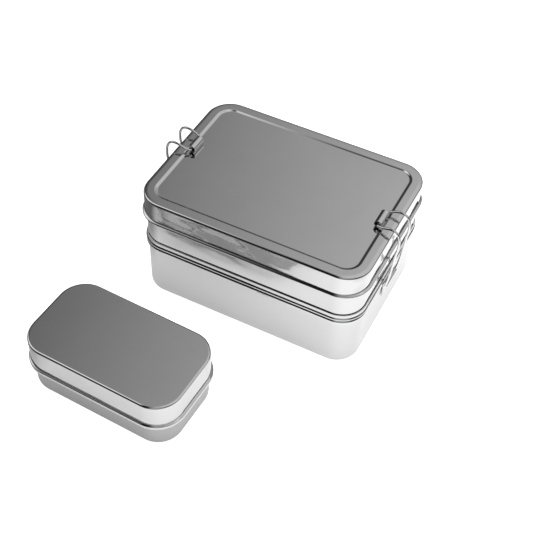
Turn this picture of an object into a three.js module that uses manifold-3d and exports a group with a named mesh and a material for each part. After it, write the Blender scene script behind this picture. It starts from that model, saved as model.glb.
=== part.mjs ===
// Two-tier stainless steel bento lunch box with two wire clips and a snack box.
// Millimetres, +Z up. The origin is the middle of the main box's underside, X runs
// along its long side and the clips are on its two short ends.

import * as THREE from 'three';
import { mergeVertices } from 'three/addons/utils/BufferGeometryUtils.js';
import Module from 'manifold-3d';

const wasm = await Module();
wasm.setup();

// ---- Driving dimensions -------------------------------------------------------

const SHEET = 0.6;               // stainless sheet
const CLEARANCE = 0.3;           // between pieces that touch
const CORNER_STEPS = 8;          // facets in each rounded corner

// Main box, measured over the outside of its walls
const BOX = { halfLength: 70.9, halfWidth: 51.3, corner: 15 };
const LOWER = { top: 41.3, fillet: 2.8 };
const UPPER = { floor: 41.6, top: 74.8, fillet: 1.5 };
const HEM = { width: 1.2, depth: 4 };            // rim folded in on itself

// Skirt ring welded round the foot of the upper tier, over the lower tier's rim
const RING = { top: 44.3, reach: 0.9, crest: 1.4, crestHeight: 40.6, beadHalf: 1.4, bottom: 35.8 };

// Lid: flat flange round a slightly sunken panel, and a deep skirt with a rolled bead
const LID = {
  top: 75.8, panelDrop: 1.2, flange: 6.3, step: 1.8, edge: 1.2,
  skirt: 1.1, crest: 2.5, crestHeight: 61.3, beadHalf: 1.6, bottom: 59.2,
};

// Clips: a wire bail, hinged on a bracket on the lower tier, with a rolled grip
const WIRE_RADIUS = 0.75;
const PIVOT = { x: 72.85, z: 33.6 };             // wire's lower leg, inside the knuckle
const KNUCKLE = { outer: 1.65, halfWidth: 7, plateBottom: 23 };
const GRIP = {
  x: 62.2, z: 79.2, outer: 2.75, halfWidth: 5.4, startAngle: 25, turns: 1.25, pitch: 0.85,
};
const LEG_SPREAD = { grip: 6.7, top: 7.7, bottom: 8.9 }; // the bail's legs from its middle
const BAIL = { endGap: 0.4, middle: 3, elbow: 1.8, steps: 110 };

// Each clip sits a little off the box's middle, and each bail is bent by hand: its side
// view is given as x and z, from the grip over the lid's flange and down to the knuckle
const CLIPS = {
  right: {
    offset: -1.1,
    side: [
      [66.3, 79.5], [70.4, 80], [74, 78.9], [76.3, 75.5], [76.9, 70.6], [76.2, 62], [75.2, 50],
    ],
  },
  left: {
    offset: 3.3,
    side: [
      [66.3, 79.5], [70.6, 80.4], [74.5, 79.8], [77, 76.7], [77.8, 71.6], [77, 63], [75.5, 50],
    ],
  },
};

// Snack box, standing beside the main box
const SNACK = { halfLength: 48.2, halfWidth: 27.3, corner: 15, x: -40.1, y: -122.5, turn: -2.41 };
const SNACK_BODY = { top: 36.4, fillet: 4 };
const SNACK_LID = {
  top: 37.5, edge: 1.2, skirt: 1.5, crest: 2.7, crestHeight: 20.8, beadHalf: 2, bottom: 17.8,
};

// ---- Materials ----------------------------------------------------------------

function steel(name, colour, roughness) {
  return new THREE.MeshStandardMaterial({ name, color: colour, roughness, metalness: 1 });
}

const MIRROR_STEEL = steel('mirror_steel', 0xc9cacc, 0.06);
const SATIN_STEEL = steel('satin_steel', 0xc6c7c8, 0.3);
const WIRE_STEEL = steel('wire_steel', 0xbfc1c4, 0.15);

// ---- Solids -------------------------------------------------------------------

// Merges a geometry's shared corners and passes it through a closed solid.
function solid(geometry) {
  const bare = geometry.clone();
  bare.deleteAttribute('normal');
  bare.deleteAttribute('uv');
  const merged = mergeVertices(bare, 1e-4);
  const body = new wasm.Manifold(new wasm.Mesh({
    numProp: 3,
    vertProperties: Float32Array.from(merged.getAttribute('position').array),
    triVerts: Uint32Array.from(merged.index.array),
  }));
  const mesh = body.getMesh();
  const result = new THREE.BufferGeometry();
  result.setAttribute('position', new THREE.BufferAttribute(mesh.vertProperties, 3));
  result.setIndex(new THREE.BufferAttribute(mesh.triVerts, 1));
  result.computeVertexNormals();
  return result;
}

// Turns a wall's section into a rounded rectangle. The section is a list of (offset
// from the outside of the wall, height) points, outside first and anticlockwise. It is
// turned on a lathe, whose four quarters are then drawn apart to the corners; points at
// offset -Infinity close the floor or panel at the middle.
function traySolid(section, size) {
  const columns = 4 * (CORNER_STEPS + 1);
  const profile = section.map(([offset, height]) => (
    new THREE.Vector2(offset === -Infinity ? 0 : size.corner + offset, height)
  ));
  const turned = new THREE.LatheGeometry(profile, columns);
  const position = turned.getAttribute('position');
  for (let column = 0; column <= columns; column += 1) {
    const quarter = Math.floor(column / (CORNER_STEPS + 1)) % 4;
    const share = (column % (CORNER_STEPS + 1)) / CORNER_STEPS;
    const angle = (quarter + share) * Math.PI / 2;
    const signX = quarter === 0 || quarter === 3 ? 1 : -1;
    const signY = quarter < 2 ? 1 : -1;
    profile.forEach((point, row) => {
      const apart = point.x > 0 ? 1 : 0;
      position.setXYZ(
        column * profile.length + row,
        apart * signX * (size.halfLength - size.corner) + point.x * Math.cos(angle),
        apart * signY * (size.halfWidth - size.corner) + point.x * Math.sin(angle),
        point.y,
      );
    });
  }
  return solid(turned);
}

// Points of an arc in a section, from one angle to another in degrees.
function arc(offset, height, radius, from, to, steps) {
  return Array.from({ length: steps + 1 }, (_, index) => {
    const angle = THREE.MathUtils.degToRad(from + (to - from) * index / steps);
    return [offset + radius * Math.cos(angle), height + radius * Math.sin(angle)];
  });
}

// The outward bulge of a rolled bead, from its lower edge up to its upper edge.
function bead({ reach, crest, crestHeight, beadHalf }) {
  const rise = crest - reach;
  const radius = (beadHalf ** 2 + rise ** 2) / (2 * rise);
  const half = THREE.MathUtils.radToDeg(Math.asin(beadHalf / radius));
  return arc(crest - radius, crestHeight, radius, -half, half, 6);
}

// A pressed pan: flat floor, filleted foot, straight walls and a rim folded inwards.
function panSection({ floor, top, fillet }) {
  const round = HEM.width / 2;
  return [
    [-Infinity, floor],
    ...arc(-fillet, floor + fillet, fillet, -90, 0, 5),
    ...arc(-round, top - round, round, 0, 180, 6),
    [-HEM.width, top - HEM.depth],
    [-SHEET, top - HEM.depth - SHEET],
    ...arc(-fillet, floor + fillet, fillet - SHEET, 0, -90, 5),
    [-Infinity, floor + SHEET],
  ];
}

// ---- Main box -----------------------------------------------------------------

function lowerTier() {
  return traySolid(panSection({ floor: 0, ...LOWER }), BOX);
}

function upperTier() {
  return traySolid(panSection(UPPER), BOX);
}

function skirtRing() {
  const shoulder = RING.reach - CLEARANCE;
  const section = [
    [CLEARANCE, RING.bottom],
    [RING.reach, RING.bottom],
    ...bead(RING),
    ...arc(CLEARANCE, RING.top - shoulder, shoulder, 0, 90, 4),
    [CLEARANCE, RING.bottom],
  ];
  return traySolid(section, BOX);
}

// The soft step from the lid's flange down to its panel, as shares of its width and drop
const STEP_SHARES = [[0, 0], [0.3, 0.12], [0.5, 0.5], [0.7, 0.88], [1, 1]];

function lidPressing() {
  const inner = LID.skirt - SHEET;
  const edgeOffset = LID.skirt - LID.edge;
  const panel = LID.top - LID.panelDrop;
  const stepStart = LID.skirt - LID.flange;
  const top = STEP_SHARES.map(([along, down]) => (
    [stepStart - along * LID.step, LID.top - down * LID.panelDrop]
  ));
  const section = [
    [-Infinity, panel - SHEET],
    ...top.toReversed().map(([offset, height]) => [offset, height - SHEET]),
    ...arc(edgeOffset, LID.top - LID.edge, LID.edge - SHEET, 90, 0, 5),
    [inner, LID.bottom],
    [LID.skirt, LID.bottom],
    ...bead({ ...LID, reach: LID.skirt }),
    ...arc(edgeOffset, LID.top - LID.edge, LID.edge, 0, 90, 5),
    ...top,
    [-Infinity, panel],
  ];
  return traySolid(section, BOX);
}

// ---- Snack box ----------------------------------------------------------------

function snackBox() {
  return traySolid(panSection({ floor: 0, ...SNACK_BODY }), SNACK);
}

function snackLid() {
  const edgeOffset = SNACK_LID.skirt - SNACK_LID.edge;
  const edgeHeight = SNACK_LID.top - SNACK_LID.edge;
  const section = [
    [-Infinity, SNACK_LID.top - SHEET],
    ...arc(edgeOffset, edgeHeight, SNACK_LID.edge - SHEET, 90, 0, 5),
    [SNACK_LID.skirt - SHEET, SNACK_LID.bottom],
    [SNACK_LID.skirt, SNACK_LID.bottom],
    ...bead({ ...SNACK_LID, reach: SNACK_LID.skirt }),
    ...arc(edgeOffset, edgeHeight, SNACK_LID.edge, 0, 90, 5),
    [-Infinity, SNACK_LID.top],
  ];
  return traySolid(section, SNACK);
}

// ---- Clips, drawn for the +X end with the bracket's middle at y = 0 -------------

// An outline in the XZ plane, drawn out along Y either side of the middle.
function alongY(outline, halfWidth) {
  const shape = new THREE.Shape(outline.map(([x, z]) => new THREE.Vector2(x, z)));
  const drawn = new THREE.ExtrudeGeometry(shape, { depth: 2 * halfWidth, bevelEnabled: false });
  drawn.rotateX(Math.PI / 2);
  drawn.translate(0, halfWidth, 0);
  return solid(drawn);
}

// Plate spot-welded under the skirt ring, its upper edge curled round the wire.
function hingeBracket() {
  const inside = PIVOT.x - KNUCKLE.outer;
  const bore = KNUCKLE.outer - SHEET;
  const outline = [
    [inside + SHEET, KNUCKLE.plateBottom],
    ...arc(PIVOT.x, PIVOT.z, bore, 180, -110, 16),
    ...arc(PIVOT.x, PIVOT.z, KNUCKLE.outer, -110, 180, 16),
    [inside, KNUCKLE.plateBottom],
  ];
  return alongY(outline, KNUCKLE.halfWidth);
}

// Sheet rolled up like a scroll round the top of the wire.
function rolledGrip() {
  const steps = 26;
  const start = THREE.MathUtils.degToRad(GRIP.startAngle);
  const outside = [];
  const inside = [];
  for (let index = 0; index <= steps; index += 1) {
    const turn = GRIP.turns * index / steps;
    const angle = start + 2 * Math.PI * turn;
    const radius = GRIP.outer - GRIP.pitch * turn;
    outside.push([GRIP.x + radius * Math.cos(angle), GRIP.z + radius * Math.sin(angle)]);
    inside.push([
      GRIP.x + (radius - SHEET) * Math.cos(angle),
      GRIP.z + (radius - SHEET) * Math.sin(angle),
    ]);
  }
  return alongY([...outside, ...inside.toReversed()], GRIP.halfWidth);
}

// One wire: its ends meet inside the grip, it crosses the lid's flange, bows out past
// the lid's edge and runs down to the knuckle on both sides.
function wireBail(side) {
  const { endGap, middle, elbow } = BAIL;
  const { grip, top, bottom } = LEG_SPREAD;
  const spread = (z) => top + (bottom - top) * (GRIP.z - z) / (GRIP.z - PIVOT.z);
  const leg = [
    [GRIP.x, endGap, GRIP.z],
    [GRIP.x, middle, GRIP.z],
    [GRIP.x, grip - elbow, GRIP.z],
    [GRIP.x + elbow / 3, grip - elbow / 4, GRIP.z],
    [GRIP.x + elbow, grip, GRIP.z],
    ...side.map(([x, z], index) => [x, index > 0 ? spread(z) : (grip + top) / 2, z]),
    [PIVOT.x + elbow / 4, bottom, PIVOT.z + elbow],
    [PIVOT.x, bottom - elbow / 3, PIVOT.z + elbow / 4],
    [PIVOT.x, bottom - elbow, PIVOT.z],
    [PIVOT.x, middle, PIVOT.z],
  ];
  const other = leg.toReversed().map(([x, y, z]) => [x, -y, z]);
  const points = [...leg, ...other].map(([x, y, z]) => new THREE.Vector3(x, y, z));
  const circle = new THREE.Shape();
  circle.absarc(0, 0, WIRE_RADIUS, 0, 2 * Math.PI, false);
  return solid(new THREE.ExtrudeGeometry(circle, {
    steps: BAIL.steps,
    curveSegments: 4,
    extrudePath: new THREE.CatmullRomCurve3(points, false, 'centripetal'),
  }));
}

// ---- Assembly -----------------------------------------------------------------

function piece(name, geometry, material) {
  const mesh = new THREE.Mesh(geometry, material);
  mesh.name = name;
  return mesh;
}

function clipAssembly(side) {
  const clip = new THREE.Group();
  clip.add(
    piece(`${side}_clip_bracket`, hingeBracket(), SATIN_STEEL),
    piece(`${side}_clip_wire`, wireBail(CLIPS[side].side), WIRE_STEEL),
    piece(`${side}_clip_grip`, rolledGrip(), MIRROR_STEEL),
  );
  clip.position.y = CLIPS[side].offset;
  clip.rotation.z = side === 'left' ? Math.PI : 0;
  return clip;
}

const lunchBox = new THREE.Group();
lunchBox.add(
  piece('lower_tier', lowerTier(), SATIN_STEEL),
  piece('upper_tier', upperTier(), MIRROR_STEEL),
  piece('upper_tier_skirt_ring', skirtRing(), MIRROR_STEEL),
  piece('lid', lidPressing(), MIRROR_STEEL),
  clipAssembly('right'),
  clipAssembly('left'),
);

const snackSet = new THREE.Group();
snackSet.add(
  piece('snack_box', snackBox(), SATIN_STEEL),
  piece('snack_lid', snackLid(), MIRROR_STEEL),
);
snackSet.position.set(SNACK.x, SNACK.y, 0);
snackSet.rotation.z = THREE.MathUtils.degToRad(SNACK.turn);
lunchBox.add(snackSet);

export default lunchBox;
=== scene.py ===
import math
from collections import namedtuple

import bmesh
import bpy
from mathutils import Matrix, Vector


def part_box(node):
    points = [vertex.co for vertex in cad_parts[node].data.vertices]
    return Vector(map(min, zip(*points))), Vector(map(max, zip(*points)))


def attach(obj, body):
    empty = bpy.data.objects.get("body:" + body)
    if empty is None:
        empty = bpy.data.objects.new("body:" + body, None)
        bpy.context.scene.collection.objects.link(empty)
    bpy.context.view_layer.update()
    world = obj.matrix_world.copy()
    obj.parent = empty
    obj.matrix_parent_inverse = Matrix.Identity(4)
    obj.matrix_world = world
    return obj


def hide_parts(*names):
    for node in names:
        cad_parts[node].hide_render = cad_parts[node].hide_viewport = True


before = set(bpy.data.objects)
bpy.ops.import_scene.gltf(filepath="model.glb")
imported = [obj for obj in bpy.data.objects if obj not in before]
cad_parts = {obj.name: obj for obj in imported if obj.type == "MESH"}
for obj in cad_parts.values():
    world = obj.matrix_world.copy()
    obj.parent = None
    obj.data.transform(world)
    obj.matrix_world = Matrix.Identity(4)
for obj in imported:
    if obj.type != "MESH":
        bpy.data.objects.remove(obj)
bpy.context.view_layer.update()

# A two-tier stainless steel lunch box with wire clips, and its snack box, in metres.
# X runs along the main box, Z is up and the snack box stands on the -Y side.

MM = 0.001
SHEET = 0.6 * MM                 # thickness of the pressed steel
HEM_WIDTH = 1.2 * MM             # rim folded in on itself
HEM_DEPTH = 4.0 * MM
CORNER = 15 * MM                 # radius of the pressed corners
CORNER_STEPS = 20                # faces round each pressed corner
WELD = SHEET / 1000              # points of a shell closer than this are one
CUT_EDGE = 0.12 * MM             # rounding of a sheet's cut edge

PRESS_WAVES = 1.2 * MM           # depth of the waves in a hard-pressed wall
CALM_WAVES = 0.4 * MM
SATIN_WAVES = 0.18 * MM
HAIR_DEPTH = 0.0025 * MM         # hair scratches in the polish
DRAW_DEPTH = 0.003 * MM          # draw lines in the satin sheet
DIE_DEPTH = 0.008 * MM           # die marks on the wire

Plan = namedtuple("Plan", "half_length half_width corner middle turn")
Clip = namedtuple("Clip", "side facing middle grip_x grip_z bail")

lower_low, lower_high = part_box("lower_tier")
upper_low, upper_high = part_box("upper_tier")
ring_low, ring_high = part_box("upper_tier_skirt_ring")
lid_low, lid_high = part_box("lid")
snack_low, snack_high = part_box("snack_box")
snack_lid_low, snack_lid_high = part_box("snack_lid")

MAIN = Plan(
    half_length=lower_high.x, half_width=lower_high.y, corner=CORNER,
    middle=Vector((0, 0, 0)), turn=0,
)
SNACK = Plan(
    half_length=48.2 * MM, half_width=27.3 * MM, corner=CORNER,
    middle=Vector(((snack_low.x + snack_high.x) / 2, (snack_low.y + snack_high.y) / 2, 0)),
    turn=math.radians(-2.41),
)


# ---- Mesh helpers ---------------------------------------------------------------

def arc(offset, height, radius, start, end, steps):
    """Points of an arc in a section, between two angles in degrees."""
    points = []
    for index in range(steps + 1):
        angle = math.radians(start + (end - start) * index / steps)
        points.append((offset + radius * math.cos(angle), height + radius * math.sin(angle)))
    return points


def bead(lip, crest, wall, heights, steps=8):
    """A rolled bead from the lip under it to the wall over it. The four heights are where it
    leaves the lip, reaches its crest, leaves its crest and meets the wall."""
    start, crest_start, crest_end, end = heights
    under = soft_flank(lip, crest, start, crest_start, steps)
    over = soft_flank(crest, wall, crest_end, end, steps)
    return under + over


def rounded_edge(offset, top, crown, radius, lean=8, steps=10):
    """A flange's outer edge: a faint crown that tips down to lean degrees, then the round
    corner into the upright skirt. Runs from the skirt up to the flat of the flange."""
    tip = math.radians(lean)
    corner_x = offset - radius
    corner_top = radius * math.cos(tip)
    crown_end_x = corner_x + radius * math.sin(tip)
    crown_x = crown_end_x - crown * math.sin(tip)
    corner_z = top - crown * (1 - math.cos(tip)) - corner_top
    round_corner = arc(corner_x, corner_z, radius, 0, 90 - lean, steps)
    return round_corner + arc(crown_x, top - crown, crown, 90 - lean, 90, steps)[1:]


def soft_flank(start, end, low, high, steps=6):
    """An S-shaped flank from one offset to another, going up."""
    points = []
    for index in range(steps + 1):
        swell = (1 - math.cos(math.pi * index / steps)) / 2
        points.append((start + (end - start) * swell, low + (high - low) * index / steps))
    return points


def soft_step(start, width, height, drop, steps=14):
    """An S-shaped slope that sinks by drop over width, going inwards."""
    points = []
    for index in range(steps + 1):
        share = index / steps
        sunk = (1 - math.cos(math.pi * share)) / 2
        points.append((start - width * share, height - drop * sunk))
    return points


def of_type(geometry, kind):
    return [item for item in geometry if isinstance(item, kind)]


def far_edges(geometry):
    """The edges at the far end of what extrude or spin has just drawn."""
    corners = set(of_type(geometry, bmesh.types.BMVert))
    edges = of_type(geometry, bmesh.types.BMEdge)
    return [edge for edge in edges if all(vert in corners for vert in edge.verts)]


def finish_piece(name, mesh, material, smooth=True):
    """Makes the object from a bmesh, with its normals pointing out."""
    bmesh.ops.recalc_face_normals(mesh, faces=mesh.faces)
    for face in mesh.faces:
        face.smooth = smooth
    data = bpy.data.meshes.new(name)
    mesh.to_mesh(data)
    mesh.free()
    data.materials.append(material)
    piece = bpy.data.objects.new(name, data)
    bpy.context.scene.collection.objects.link(piece)
    return piece


def even_shading(piece):
    """Large flat faces keep their own normals, so a polished side mirrors as a flat one."""
    modifier = piece.modifiers.new("even_shading", "WEIGHTED_NORMAL")
    modifier.weight = 100
    modifier.keep_sharp = True


def soft_edges(piece, width, segments=3):
    """Rounds the cut edges of a sheet."""
    modifier = piece.modifiers.new("soft_edges", "BEVEL")
    modifier.width = width
    modifier.segments = segments
    modifier.limit_method = "ANGLE"
    modifier.angle_limit = math.radians(50)


def pressed_shell(name, section, plan, material, ring=False):
    """A pressed sheet: its section is drawn along each straight side and spun round each
    corner. The section's two ends are then closed as the floor, or joined for a ring."""
    mesh = bmesh.new()
    half_x = plan.half_length - plan.corner
    half_y = plan.half_width - plan.corner
    points = [
        mesh.verts.new((half_x + plan.corner + offset, -half_y, height))
        for offset, height in section
    ]
    pairs = list(zip(points, points[1:]))
    if ring:
        pairs.append((points[-1], points[0]))
    edges = [mesh.edges.new(pair) for pair in pairs]
    sides = (
        (Vector((0, 2 * half_y, 0)), Vector((half_x, half_y, 0))),
        (Vector((-2 * half_x, 0, 0)), Vector((-half_x, half_y, 0))),
        (Vector((0, -2 * half_y, 0)), Vector((-half_x, -half_y, 0))),
        (Vector((2 * half_x, 0, 0)), Vector((half_x, -half_y, 0))),
    )
    for along, corner in sides:
        drawn = bmesh.ops.extrude_edge_only(mesh, edges=edges)["geom"]
        bmesh.ops.translate(mesh, verts=of_type(drawn, bmesh.types.BMVert), vec=along)
        edges = far_edges(drawn)
        turned = bmesh.ops.spin(
            mesh, geom=edges, cent=corner, axis=(0, 0, 1), angle=math.pi / 2,
            steps=CORNER_STEPS, use_merge=False, use_duplicate=False,
        )["geom_last"]
        edges = far_edges(turned)
    bmesh.ops.remove_doubles(mesh, verts=mesh.verts, dist=WELD)
    if not ring:
        rims = [edge for edge in mesh.edges if edge.is_boundary]
        bmesh.ops.holes_fill(mesh, edges=rims, sides=0)
    place = Matrix.Translation(plan.middle) @ Matrix.Rotation(plan.turn, 4, "Z")
    bmesh.ops.transform(mesh, matrix=place, verts=mesh.verts)
    shell = finish_piece(name, mesh, material)
    even_shading(shell)
    return shell


def stands_for(piece, node, body):
    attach(piece, body)
    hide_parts(node)


# ---- Materials ------------------------------------------------------------------

def new_material(name):
    material = bpy.data.materials.new(name)
    material.use_nodes = True
    tree = material.node_tree
    return material, tree, tree.nodes["Principled BSDF"]


def add_node(tree, kind, **values):
    """A node with its inputs set by name or, for a property, on the node itself."""
    node = tree.nodes.new(kind)
    for key, value in values.items():
        if key in node.inputs:
            node.inputs[key].default_value = value
        else:
            setattr(node, key, value)
    return node


def stretched_noise(tree, stretch, scale, detail=4.0, roughness=0.6):
    """Noise in the piece's own space, drawn out along the axes where stretch is small."""
    place = add_node(tree, "ShaderNodeTexCoord")
    mapping = add_node(tree, "ShaderNodeMapping", Scale=stretch)
    noise = add_node(tree, "ShaderNodeTexNoise", Scale=scale, Detail=detail, Roughness=roughness)
    tree.links.new(place.outputs["Object"], mapping.inputs["Vector"])
    tree.links.new(mapping.outputs["Vector"], noise.inputs["Vector"])
    return noise.outputs["Fac"]


def turned_noise(tree, turn, stretch, scale, detail=4.0):
    """Stretched noise whose long direction is turned about Z, for wiping marks."""
    place = add_node(tree, "ShaderNodeTexCoord")
    turning = add_node(tree, "ShaderNodeMapping", Rotation=(0, 0, math.radians(turn)))
    mapping = add_node(tree, "ShaderNodeMapping", Scale=stretch)
    noise = add_node(tree, "ShaderNodeTexNoise", Scale=scale, Detail=detail, Roughness=0.7)
    tree.links.new(place.outputs["Object"], turning.inputs["Vector"])
    tree.links.new(turning.outputs["Vector"], mapping.inputs["Vector"])
    tree.links.new(mapping.outputs["Vector"], noise.inputs["Vector"])
    return noise.outputs["Fac"]


def into_range(tree, value, low, high, start=0.35, end=0.65):
    ranged = add_node(tree, "ShaderNodeMapRange")
    ranged.inputs["From Min"].default_value = start
    ranged.inputs["From Max"].default_value = end
    ranged.inputs["To Min"].default_value = low
    ranged.inputs["To Max"].default_value = high
    tree.links.new(value, ranged.inputs["Value"])
    return ranged.outputs["Result"]


def combined(tree, operation, values):
    total = values[0]
    for value in values[1:]:
        joining = add_node(tree, "ShaderNodeMath", operation=operation)
        tree.links.new(total, joining.inputs[0])
        tree.links.new(value, joining.inputs[1])
        total = joining.outputs["Value"]
    return total


def sum_of(tree, *values):
    return combined(tree, "ADD", values)


def product_of(tree, *values):
    return combined(tree, "MULTIPLY", values)


def upright_share(tree, flat, upright):
    """From one value on level faces to another on the upright walls."""
    geometry = add_node(tree, "ShaderNodeNewGeometry")
    parts = add_node(tree, "ShaderNodeSeparateXYZ")
    tree.links.new(geometry.outputs["Normal"], parts.inputs["Vector"])
    lean = add_node(tree, "ShaderNodeMath", operation="ABSOLUTE")
    tree.links.new(parts.outputs["Z"], lean.inputs[0])
    return into_range(tree, lean.outputs["Value"], upright, flat, 0.1, 0.9)


def bump(tree, height, distance, before=None, strength=None):
    node = add_node(tree, "ShaderNodeBump", Strength=1.0, Distance=distance)
    tree.links.new(height, node.inputs["Height"])
    if strength is not None:
        tree.links.new(strength, node.inputs["Strength"])
    if before is not None:
        tree.links.new(before, node.inputs["Normal"])
    return node.outputs["Normal"]


def tinted(tree, value, dark, light):
    """A colour between two greys, following a noise value."""
    ramp = add_node(tree, "ShaderNodeValToRGB")
    ramp.color_ramp.elements[0].position = 0.3
    ramp.color_ramp.elements[0].color = (*dark, 1)
    ramp.color_ramp.elements[1].position = 0.7
    ramp.color_ramp.elements[1].color = (*light, 1)
    tree.links.new(value, ramp.inputs["Fac"])
    return ramp.outputs["Color"]


def worn_edges(tree, amount):
    """More where the surface turns sharply outwards, as on a rubbed rim."""
    geometry = add_node(tree, "ShaderNodeNewGeometry")
    return into_range(tree, geometry.outputs["Pointiness"], 0.0, amount, 0.52, 0.6)


def mirror_steel(name, press_waves):
    """Polished sheet: press waves in its walls, wiping marks and hair scratches."""
    material, tree, shader = new_material(name)
    shader.inputs["Metallic"].default_value = 1.0
    clouds = stretched_noise(tree, (1, 1, 1), 40, detail=2)
    smears = turned_noise(tree, 35, (1, 5, 1), 30)
    hairs = turned_noise(tree, -20, (1, 90, 90), 30, detail=6)
    cross_hairs = turned_noise(tree, 62, (1, 110, 110), 26, detail=6)
    tree.links.new(
        tinted(tree, clouds, (0.622, 0.622, 0.627), (0.64, 0.64, 0.645)),
        shader.inputs["Base Color"],
    )
    roughness = sum_of(
        tree,
        into_range(tree, smears, 0.045, 0.07),
        into_range(tree, hairs, 0.0, 0.03, 0.45, 0.75),
        worn_edges(tree, 0.03),
    )
    tree.links.new(roughness, shader.inputs["Roughness"])
    waves = stretched_noise(tree, (1, 1, 2.2), 20, detail=2)
    wavy = bump(tree, waves, press_waves, strength=upright_share(tree, 0.06, 1.0))
    scratched = bump(tree, sum_of(tree, hairs, cross_hairs), HAIR_DEPTH, wavy)
    tree.links.new(scratched, shader.inputs["Normal"])
    return material


def satin_steel(name, grey, dullness):
    """Drawn sheet with faint level draw lines round the walls, dull or fairly bright; a low grey
    paints shade into its colour.
    """
    material, tree, shader = new_material(name)
    shader.inputs["Metallic"].default_value = 1.0
    clouds = stretched_noise(tree, (1, 1, 1), 30, detail=2)
    lines = stretched_noise(tree, (1, 1, 60), 55, detail=6)
    grain = stretched_noise(tree, (1, 25, 8), 90, detail=5)
    tree.links.new(
        tinted(tree, clouds, (grey, grey, grey), (grey + 0.02, grey + 0.02, grey + 0.02)),
        shader.inputs["Base Color"],
    )
    roughness = sum_of(
        tree,
        into_range(tree, clouds, dullness, dullness + 0.03),
        into_range(tree, lines, 0.0, 0.04),
        worn_edges(tree, 0.05),
    )
    tree.links.new(roughness, shader.inputs["Roughness"])
    waves = stretched_noise(tree, (1, 1, 1), 12, detail=1)
    wavy = bump(tree, waves, SATIN_WAVES)
    lined = bump(tree, sum_of(tree, lines, grain), DRAW_DEPTH, wavy)
    tree.links.new(lined, shader.inputs["Normal"])
    return material


def wire_steel():
    """Bright drawn wire with fine die marks."""
    material, tree, shader = new_material("bright_drawn_wire")
    shader.inputs["Metallic"].default_value = 1.0
    clouds = stretched_noise(tree, (1, 1, 1), 150, detail=3)
    marks = stretched_noise(tree, (6, 6, 0.8), 320, detail=4)
    tree.links.new(
        tinted(tree, clouds, (0.70, 0.70, 0.71), (0.78, 0.78, 0.79)),
        shader.inputs["Base Color"],
    )
    roughness = sum_of(
        tree, into_range(tree, clouds, 0.10, 0.17), into_range(tree, marks, 0.0, 0.05),
    )
    tree.links.new(roughness, shader.inputs["Roughness"])
    tree.links.new(bump(tree, marks, DIE_DEPTH), shader.inputs["Normal"])
    return material


MIRROR = mirror_steel("mirror_polished_steel", PRESS_WAVES)
CALM_MIRROR = mirror_steel("evenly_polished_steel", CALM_WAVES)
SATIN = satin_steel("satin_drawn_steel", grey=0.61, dullness=0.2)
# Snack box steel: dull, and its low grey of 0.42 is painted shade, darkening what its walls
# mirror as if the floor at its foot were in shadow.
DULL_AND_SHADED = satin_steel("dull_drawn_steel_painted_shade", grey=0.42, dullness=0.3)
WIRE = wire_steel()


# ---- Main box -------------------------------------------------------------------

def pan_section(floor, top, fillet):
    """A pressed pan: rounded foot, straight wall, and a rim folded inwards."""
    fold = HEM_WIDTH / 2
    lip = SHEET / 2
    return [
        (-fillet - 2 * SHEET, floor),
        *arc(-fillet, floor + fillet, fillet, -90, 0, 12),
        (0, floor + fillet + SHEET),
        (0, top - fold - SHEET),
        *arc(-fold, top - fold, fold, 0, 180, 14),
        *arc(-HEM_WIDTH + lip, top - HEM_DEPTH, lip, 180, 270, 5),
        (-SHEET, top - HEM_DEPTH - lip),
        (-SHEET, floor + fillet + SHEET),
        *arc(-fillet, floor + fillet, fillet - SHEET, 0, -90, 10),
        (-fillet - 2 * SHEET, floor + SHEET),
    ]


LOWER_FILLET = 2.8 * MM
UPPER_FILLET = 1.5 * MM
SNACK_FILLET = 4 * MM

lower_tier = pressed_shell(
    "lower_tier_pan", pan_section(lower_low.z, lower_high.z, LOWER_FILLET), MAIN, SATIN,
)
stands_for(lower_tier, "lower_tier", "lower_tier")

upper_tier = pressed_shell(
    "upper_tier_pan", pan_section(upper_low.z, upper_high.z, UPPER_FILLET), MAIN, CALM_MIRROR,
)
stands_for(upper_tier, "upper_tier", "upper_tier")


RING_CREST = 40.1 * MM           # height of the ring's bead
RING_TOP = 43.6 * MM             # where its shoulder meets the upper tier's wall


def ring_section():
    """The skirt ring: flared lip, groove, rolled bead and a shoulder turned in to the wall."""
    inside = 0.3 * MM
    reach = 0.75 * MM
    flare = 1.25 * MM
    groove = 0.5 * MM
    crest = ring_high.x - MAIN.half_length
    shoulder = reach - inside
    low = RING_CREST - 1.3 * MM
    return [
        (inside, ring_low.z),
        (flare - SHEET / 2, ring_low.z),
        *arc(flare - SHEET / 2, ring_low.z + SHEET / 2, SHEET / 2, -60, 0, 4),
        (flare - SHEET / 6, low - 1.4 * MM),
        *soft_flank(flare - SHEET / 6, groove, low - 1.3 * MM, low),
        *bead(groove, crest, reach, [
            low + 0.2 * MM, RING_CREST - 0.4 * MM, RING_CREST + 0.1 * MM, RING_CREST + 1.3 * MM,
        ]),
        (reach, RING_TOP - shoulder - SHEET / 2),
        *arc(inside, RING_TOP - shoulder, shoulder, 0, 90, 8),
    ]


skirt_ring = pressed_shell(
    "beaded_skirt_ring", ring_section(), MAIN, MIRROR, ring=True,
)
stands_for(skirt_ring, "upper_tier_skirt_ring", "upper_tier")


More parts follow.
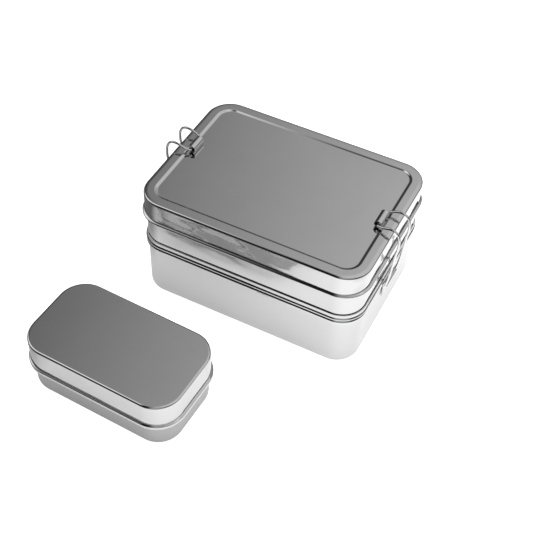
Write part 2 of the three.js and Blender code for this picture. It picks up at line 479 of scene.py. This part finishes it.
def lid_section():
    """The lid: sunken panel, soft step, flat flange, rounded edge and a beaded skirt."""
    skirt = 1.1 * MM
    lip = 1.7 * MM
    crest = lid_high.x - MAIN.half_length
    top = lid_high.z
    drop = 0.65 * MM
    step_start = skirt - 6.2 * MM
    step = 2.2 * MM
    crown = 12 * MM
    edge = 1.4 * MM
    bead_heights = [lid_low.z + height * MM for height in (0.6, 1.3, 1.7, 3.1)]
    panel_edge = step_start - step - SHEET
    outside_step = soft_step(step_start, step, top, drop)
    inside_step = [(offset, height - SHEET) for offset, height in reversed(outside_step)]
    inner_edge = rounded_edge(skirt - SHEET, top - SHEET, crown, edge - SHEET)
    return [
        (panel_edge, top - drop - SHEET),
        *inside_step,
        *inner_edge[::-1],
        (skirt - SHEET, lid_low.z),
        (lip - SHEET / 4, lid_low.z),
        (lip, lid_low.z + SHEET / 4),
        *bead(lip, crest, skirt, bead_heights),
        (skirt, top - edge - SHEET),
        *rounded_edge(skirt, top, crown, edge),
        *outside_step,
        (panel_edge, top - drop),
    ]


lid = pressed_shell("lid_pressing", lid_section(), MAIN, MIRROR)
stands_for(lid, "lid", "lid")


# ---- Snack box ------------------------------------------------------------------

snack_box = pressed_shell(
    # The snack box's darker grey is painted shade.
    "snack_box_pan", pan_section(snack_low.z, snack_high.z, SNACK_FILLET), SNACK, DULL_AND_SHADED,
)
stands_for(snack_box, "snack_box", "snack_box")


def snack_lid_section():
    """The snack box's lid: flat top, rounded edge, deep skirt and a wide bead."""
    skirt = 1.5 * MM
    crown = 3 * MM
    edge = 1.3 * MM
    crest = 2.7 * MM
    top = snack_lid_high.z
    bottom = snack_lid_low.z
    bead_heights = [bottom + height * MM for height in (0.2, 1.4, 2.9, 4.0)]
    outer_edge = rounded_edge(skirt, top, crown, edge)
    inner_edge = rounded_edge(skirt - SHEET, top - SHEET, crown, edge - SHEET)
    return [
        (inner_edge[-1][0] - SHEET, top - SHEET),
        *inner_edge[::-1],
        (skirt - SHEET, bottom),
        (skirt, bottom),
        *bead(skirt + SHEET / 4, crest, skirt, bead_heights),
        (skirt, top - edge - SHEET),
        *outer_edge,
        (outer_edge[-1][0] - SHEET, top),
    ]


snack_lid = pressed_shell("snack_lid_pressing", snack_lid_section(), SNACK, CALM_MIRROR)
stands_for(snack_lid, "snack_lid", "snack_lid")


# ---- Clips ----------------------------------------------------------------------
# Each clip is drawn for the +X end with its bracket's middle at y = 0, in millimetres,
# and is then put on its own end of the box.

WIRE_RADIUS = 0.75
PIVOT_X = 72.85
PIVOT_Z = 33.6
KNUCKLE_OUTER = 1.65
KNUCKLE_HALF_WIDTH = 7.0
PLATE_BOTTOM = 23.0
GRIP_OUTER = 2.75
GRIP_HALF_WIDTH = 5.4
GRIP_TURNS = 1.25
GRIP_PITCH = 0.85
LEG_GRIP = 6.7
LEG_TOP = 7.7
LEG_BOTTOM = 8.9
SEAM = 0.001                     # points of the wire closer than this are one

# Which end each clip is on, its middle along Y, its grip's middle, and the way a leg of its
# bail goes down in X and Z.
CLIPS = (
    Clip("right", 1, -1.1, 62.0, 77.4, (
        (66.3, 78.6), (70.2, 79.7), (74.0, 78.9), (76.3, 75.5), (76.9, 70.6),
        (76.2, 62.0), (75.2, 50.0), (74.1, 40.0),
    )),
    Clip("left", -1, 3.3, 62.0, 77.4, (
        (66.3, 78.9), (70.6, 80.3), (74.5, 79.8), (77.0, 76.7), (77.8, 71.6),
        (77.0, 63.0), (75.5, 50.0), (74.2, 40.0),
    )),
)


def clip_place(clip):
    """From the clip's own millimetres to its end of the box."""
    turn = Matrix.Rotation(0 if clip.facing > 0 else math.pi, 4, "Z")
    return Matrix.Translation((0, clip.middle * MM, 0)) @ turn @ Matrix.Scale(MM, 4)


def drawn_sheet(name, outline, half_width, clip, material):
    """A bent sheet: its outline in the XZ plane is drawn out along Y."""
    mesh = bmesh.new()
    corners = [mesh.verts.new((x, -half_width, z)) for x, z in outline]
    face = mesh.faces.new(corners)
    drawn = bmesh.ops.extrude_face_region(mesh, geom=[face])["geom"]
    far = of_type(drawn, bmesh.types.BMVert)
    bmesh.ops.translate(mesh, verts=far, vec=(0, 2 * half_width, 0))
    bmesh.ops.transform(mesh, matrix=clip_place(clip), verts=mesh.verts)
    piece = finish_piece(name, mesh, material)
    soft_edges(piece, CUT_EDGE)
    even_shading(piece)
    return piece


def hinge_bracket(clip):
    """A plate on the lower tier, its upper edge curled round the wire."""
    inside = PIVOT_X - KNUCKLE_OUTER
    thick = SHEET / MM
    bore = KNUCKLE_OUTER - thick
    outline = [
        (inside + thick, PLATE_BOTTOM),
        *arc(PIVOT_X, PIVOT_Z, bore, 180, -110, 36),
        *arc(PIVOT_X, PIVOT_Z, KNUCKLE_OUTER, -110, 180, 36),
        (inside, PLATE_BOTTOM),
    ]
    return drawn_sheet(f"{clip.side}_hinge_bracket", outline, KNUCKLE_HALF_WIDTH, clip, SATIN)


def rolled_grip(clip):
    """Sheet rolled up like a scroll round the top of the wire."""
    steps = 56
    start = math.radians(25)
    thick = SHEET / MM
    outside = []
    inside = []
    for index in range(steps + 1):
        turn = GRIP_TURNS * index / steps
        angle = start + 2 * math.pi * turn
        radius = GRIP_OUTER - GRIP_PITCH * turn
        for line, reach in ((outside, radius), (inside, radius - thick)):
            line.append((
                clip.grip_x + reach * math.cos(angle), clip.grip_z + reach * math.sin(angle),
            ))
    outline = outside + inside[::-1]
    return drawn_sheet(f"{clip.side}_rolled_grip", outline, GRIP_HALF_WIDTH, clip, MIRROR)


def bail_leg(clip):
    """The middle of one leg, from inside the grip down to inside the knuckle."""
    elbow = 1.8
    near_middle = 0.4
    rise = 0.4

    def spread(z):
        share = (clip.grip_z - z) / (clip.grip_z - PIVOT_Z)
        return LEG_TOP + (LEG_BOTTOM - LEG_TOP) * share

    return [
        (clip.grip_x, near_middle, clip.grip_z),
        (clip.grip_x, LEG_GRIP - elbow, clip.grip_z),
        (clip.grip_x + elbow / 3, LEG_GRIP - elbow / 4, clip.grip_z + rise / 4),
        (clip.grip_x + elbow, LEG_GRIP, clip.grip_z + rise),
        *[(x, min(spread(z), LEG_GRIP + (x - clip.grip_x) / 6), z) for x, z in clip.bail[:2]],
        *[(x, spread(z), z) for x, z in clip.bail[2:]],
        (PIVOT_X + elbow / 4, LEG_BOTTOM, PIVOT_Z + elbow),
        (PIVOT_X, LEG_BOTTOM - elbow / 3, PIVOT_Z + elbow / 4),
        (PIVOT_X, LEG_BOTTOM - elbow, PIVOT_Z),
        (PIVOT_X, LEG_BOTTOM / 3, PIVOT_Z),
    ]


def wire_bail(clip):
    """One bent wire: up from the knuckle, over the lid's edge and into the grip."""
    leg = bail_leg(clip)
    points = leg + [(x, -y, z) for x, y, z in reversed(leg)]
    curve = bpy.data.curves.new(f"{clip.side}_bail_route", "CURVE")
    curve.dimensions = "3D"
    curve.bevel_depth = WIRE_RADIUS
    curve.bevel_resolution = 4
    curve.resolution_u = 10
    curve.use_fill_caps = True
    route = curve.splines.new("BEZIER")
    route.bezier_points.add(len(points) - 1)
    for spot, point in zip(route.bezier_points, points):
        spot.co = point
        spot.handle_left_type = "AUTO"
        spot.handle_right_type = "AUTO"
    routed = bpy.data.objects.new(curve.name, curve)
    bpy.context.scene.collection.objects.link(routed)
    bpy.context.view_layer.update()
    mesh = bmesh.new()
    shape = routed.evaluated_get(bpy.context.evaluated_depsgraph_get())
    mesh.from_mesh(shape.to_mesh())
    shape.to_mesh_clear()
    bpy.data.objects.remove(routed)
    bmesh.ops.remove_doubles(mesh, verts=mesh.verts, dist=SEAM)
    bmesh.ops.transform(mesh, matrix=clip_place(clip), verts=mesh.verts)
    return finish_piece(f"{clip.side}_wire_bail", mesh, WIRE)


for clip in CLIPS:
    body = f"{clip.side}_clip"
    stands_for(hinge_bracket(clip), f"{clip.side}_clip_bracket", "lower_tier")
    stands_for(wire_bail(clip), f"{clip.side}_clip_wire", body)
    stands_for(rolled_grip(clip), f"{clip.side}_clip_grip", body)


# ---- Studio ---------------------------------------------------------------------

def pale_floor():
    """A pale table top with painted light: in what the steel mirrors, its colour and its glow are
    a painted pool of light, brightest near the box and fading to the left, to the right and with
    distance, as round a table lit from above. To the camera it glows evenly white."""
    left_fade = (-0.125, -0.085)
    right_fade = (0.12, 0.19)
    far_fade = (0.2, 0.3)
    painted_glow_rise = (-0.08, 0.08)
    material, tree, shader = new_material("table_top_painted_light")
    place = add_node(tree, "ShaderNodeTexCoord")
    parts = add_node(tree, "ShaderNodeSeparateXYZ")
    tree.links.new(place.outputs["Object"], parts.inputs["Vector"])
    distance = add_node(tree, "ShaderNodeVectorMath", operation="LENGTH")
    tree.links.new(place.outputs["Object"], distance.inputs[0])
    # lit is a painted pool of light: it fades to the left, to the right and with distance from
    # the box.
    lit = product_of(
        tree,
        into_range(tree, parts.outputs["X"], 0.0, 1.0, *left_fade),
        into_range(tree, parts.outputs["X"], 1.0, 0.35, *right_fade),
        into_range(tree, distance.outputs["Value"], 1.0, 0.0, *far_fade),
    )
    mottle = stretched_noise(tree, (1, 1, 1), 9, detail=2)
    # Painted light in the colour: the floor is paler where lit is higher, with a faint random
    # mottle on top.
    painted_light_and_mottle = sum_of(
        tree, into_range(tree, lit, 0.12, 0.62, 0, 1), into_range(tree, mottle, 0.0, 0.02),
    )
    tree.links.new(painted_light_and_mottle, shader.inputs["Base Color"])
    shader.inputs["Roughness"].default_value = 0.6
    shader.inputs["Specular IOR Level"].default_value = 0.2
    # Painted glow: to the steel's reflections the floor glows by lit and more to the right; to
    # the camera it glows evenly white.
    painted_glow_across = into_range(tree, parts.outputs["X"], 0.2, 0.55, *painted_glow_rise)
    seen = add_node(tree, "ShaderNodeLightPath")
    glow = add_node(tree, "ShaderNodeMix", data_type="FLOAT")
    tree.links.new(seen.outputs["Is Camera Ray"], glow.inputs["Factor"])
    tree.links.new(product_of(tree, lit, painted_glow_across), glow.inputs["A"])
    glow.inputs["B"].default_value = 1.0
    tree.links.new(glow.outputs["Result"], shader.inputs["Emission Strength"])
    shader.inputs["Emission Color"].default_value = (1, 1, 1, 1)
    mesh = bmesh.new()
    bmesh.ops.create_grid(mesh, x_segments=2, y_segments=2, size=1.5)
    floor = finish_piece("table_top", mesh, material, smooth=False)


def soft_light(name, place, towards, size, power):
    """A rectangular light that lights the set but doesn't show in the steel."""
    light = bpy.data.lights.new(name, "AREA")
    light.shape = "RECTANGLE"
    light.size = size[0]
    light.size_y = size[1]
    light.energy = power
    lamp = bpy.data.objects.new(name, light)
    bpy.context.scene.collection.objects.link(lamp)
    lamp.location = place
    aim = Vector(towards) - Vector(place)
    lamp.rotation_euler = aim.to_track_quat("-Z", "Y").to_euler()
    lamp.visible_glossy = False
    lamp.visible_camera = False


def room():
    """What the polished steel mirrors: walls lit behind the box, far to the left and near on
    the right, a panel overhead on each side, and darkness in front."""
    world = bpy.data.worlds.new("studio_room")
    bpy.context.scene.world = world
    world.use_nodes = True
    tree = world.node_tree
    background = tree.nodes["Background"]
    place = add_node(tree, "ShaderNodeTexCoord")
    parts = add_node(tree, "ShaderNodeSeparateXYZ")
    tree.links.new(place.outputs["Generated"], parts.inputs["Vector"])

    def fade(axis, low, high, start, end):
        return into_range(tree, parts.outputs[axis], low, high, start, end)

    horizon = fade("Z", 0.0, 1.0, 0.0, 0.3)
    sideways = fade("X", 0.06, 0.73, -0.56, -0.1)
    behind = product_of(tree, fade("Y", 0.03, 1.0, -0.1, 0.35), fade("Y", 1.0, 0.65, 0.7, 0.85))
    far_left = fade("X", 0.45, 0.0, -0.92, -0.8)
    near_right = product_of(tree, fade("X", 0.0, 0.5, 0.0, 0.2), fade("Y", 1.0, 0.0, -0.6, -0.4))
    walls = sum_of(tree, product_of(tree, sideways, behind), far_left, near_right)
    left_panel = fade("X", 1.1, 0.0, -0.40, -0.26)
    right_panel = fade("X", 0.0, 0.6, -0.15, 0.0)
    overhead = product_of(
        tree, sum_of(tree, left_panel, right_panel), fade("Y", 1.0, 0.0, 0.1, 0.3),
        fade("Y", 0.0, 1.0, -0.6, -0.25), fade("Z", 0.0, 1.0, 0.2, 0.55),
    )
    seen = add_node(tree, "ShaderNodeLightPath")
    backdrop = add_node(tree, "ShaderNodeMix", data_type="FLOAT")
    tree.links.new(seen.outputs["Is Camera Ray"], backdrop.inputs["Factor"])
    tree.links.new(sum_of(tree, product_of(tree, walls, horizon), overhead), backdrop.inputs["A"])
    backdrop.inputs["B"].default_value = 1.0
    tree.links.new(backdrop.outputs["Result"], background.inputs["Color"])


def camera_view():
    """The camera looks down on the set from the front and a little to the right."""
    azimuth = math.radians(25.3)
    elevation = math.radians(47.69)
    roll = math.radians(2.54)
    place = Vector((0.1819, -0.4049, 0.4902))
    back = Vector((
        math.sin(azimuth) * math.cos(elevation),
        -math.cos(azimuth) * math.cos(elevation),
        math.sin(elevation),
    ))
    level = back.cross(Vector((0, 0, -1))).normalized()
    upright = back.cross(level)
    right = math.cos(roll) * level + math.sin(roll) * upright
    up = math.cos(roll) * upright - math.sin(roll) * level
    camera_data = bpy.data.cameras.new("studio_camera")
    camera_data.sensor_width = 36
    camera_data.lens = 69.49
    camera_data.clip_start = 0.01
    camera = bpy.data.objects.new("studio_camera", camera_data)
    bpy.context.scene.collection.objects.link(camera)
    turned = Matrix((right, up, back)).transposed().to_4x4()
    camera.matrix_world = Matrix.Translation(place) @ turned
    bpy.context.scene.camera = camera


pale_floor()
room()
camera_view()
soft_light(
    "overhead_softbox", place=(0.1, 0.1, 1.1), towards=(0, -0.03, 0), size=(1.3, 1.3), power=16,
)
bpy.context.scene.view_settings.view_transform = "Standard"
